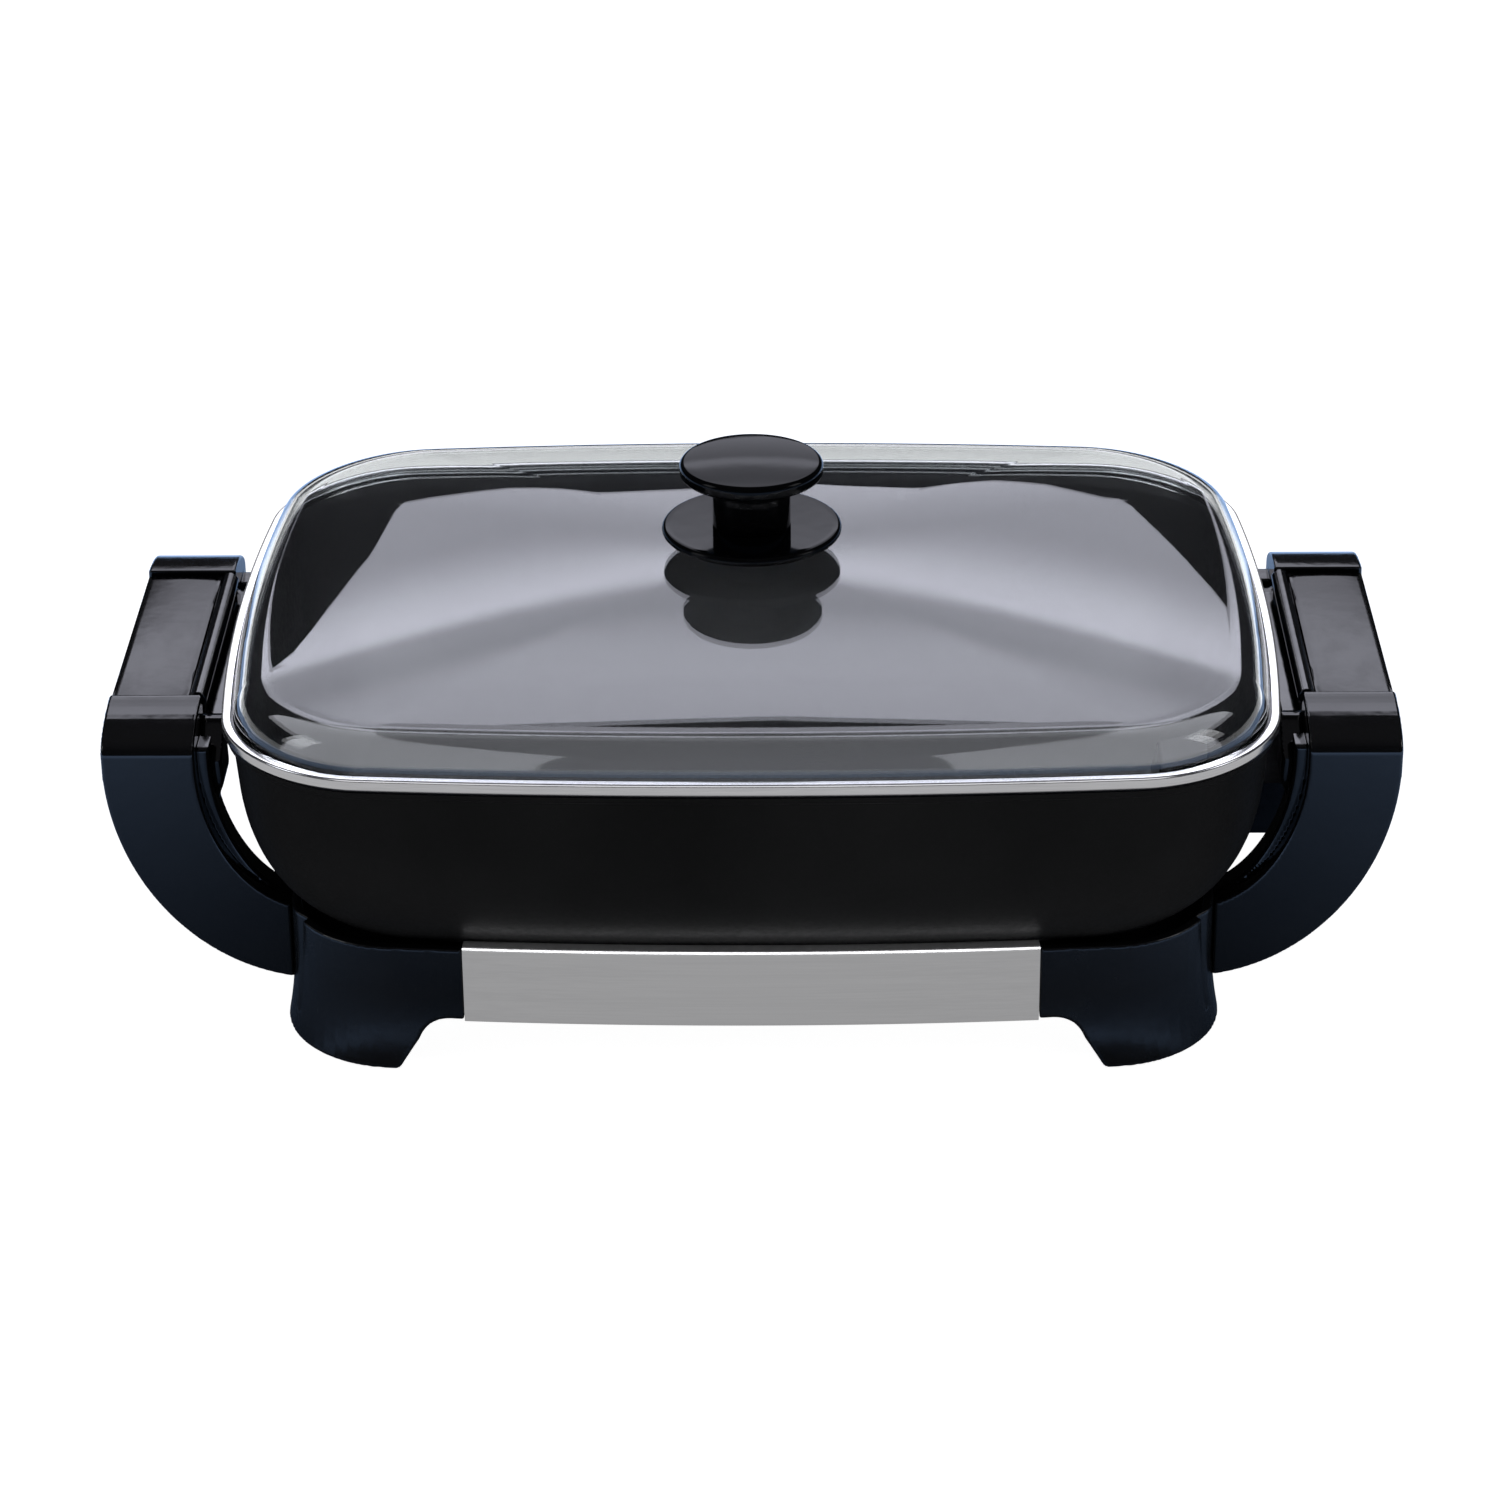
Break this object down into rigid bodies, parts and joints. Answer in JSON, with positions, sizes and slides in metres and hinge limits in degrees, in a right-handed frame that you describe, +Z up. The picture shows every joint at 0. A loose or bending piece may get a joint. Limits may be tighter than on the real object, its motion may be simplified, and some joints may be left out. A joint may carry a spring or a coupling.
{
  "type": "electric skillet griddle",
  "caption": "Rectangular electric frying pan on corner legs with steel strips, hooped side handles, a domed glass lid with a disc knob and a plug-in heat control.",
  "frame": {"origin": "on the table, under the middle of the object", "axes": "+Z up, +X towards the heat control at the right-hand end, -Y towards the user's long side"},
  "size_m": [0.485, 0.295, 0.1947],
  "materials": {
    "nonstick_pan": "satin non-stick coating on cast aluminium",
    "handle_plastic": "polished black phenolic",
    "panel_plastic": "high-gloss black",
    "leg_plastic": "satin black phenolic",
    "strip_steel": "brushed along its length",
    "rail_steel": "zinc-plated sheet",
    "screw_steel": "zinc-plated",
    "element_sheath": "heat-darkened sheath",
    "terminal_brass": "plated contact metal",
    "bush_ceramic": "unglazed steatite",
    "guard_metal": "black painted sheet",
    "pad_rubber": "matt",
    "lid_glass": "clear tempered",
    "band_steel": "polished stainless",
    "knob_plastic": "polished black phenolic",
    "seal_silicone": "grey silicone",
    "case_plastic": "fine-textured black",
    "probe_steel": "drawn stainless tube",
    "lens_red": "translucent red-orange",
    "lamp_glass": "small neon bulb",
    "dial_plastic": "satin black"
  },
  "bodies": {
    "base": {"pan": "nonstick_pan", "heating_element": "element_sheath", "terminal_pins": "terminal_brass", "terminal_bushings": "bush_ceramic", "socket_guard": "guard_metal", "guard_screws": "screw_steel", "handle_left": "handle_plastic", "handle_right": "handle_plastic", "grip_panel_left": "panel_plastic", "grip_panel_right": "panel_plastic", "panel_screws": "screw_steel", "leg_front_left": "leg_plastic", "leg_front_right": "leg_plastic", "leg_rear_left": "leg_plastic", "leg_rear_right": "leg_plastic", "arm_screws": "screw_steel", "strip_front": "strip_steel", "strip_rear": "strip_steel", "strip_screws": "screw_steel", "rail_left": "rail_steel", "rail_right": "rail_steel", "pan_screws": "screw_steel", "leg_screws": "screw_steel", "foot_pads": "pad_rubber"},
    "lid": {"lid_glass": "lid_glass", "lid_band": "band_steel", "knob_skirt": "knob_plastic", "knob": "knob_plastic", "knob_screw": "screw_steel", "knob_washer": "screw_steel", "knob_gaskets": "seal_silicone"},
    "control": {"control_case_upper": "case_plastic", "control_case_lower": "case_plastic", "case_screws": "screw_steel", "probe_rod": "probe_steel", "contact_sleeves": "terminal_brass", "thermostat_switch": "bush_ceramic", "pilot_lens": "lens_red", "pilot_lamp": "lamp_glass", "cord_gland": "case_plastic"},
    "dial": {"dial": "dial_plastic", "dial_shaft": "screw_steel"}
  },
  "joints": [
    {"name": "lid_lift", "type": "slide", "parent": "base", "child": "lid", "axis": [0, 0, 1], "range_m": [0, 0.15]},
    {"name": "control_pull", "type": "slide", "parent": "base", "child": "control", "axis": [1, 0, 0], "range_m": [0, 0.06]},
    {"name": "dial_turn", "type": "hinge", "parent": "control", "child": "dial", "pos_m": [0.2365, 0, 0.0545], "axis": [1, 0, 0], "range_deg": [0, 270]}
  ]
}
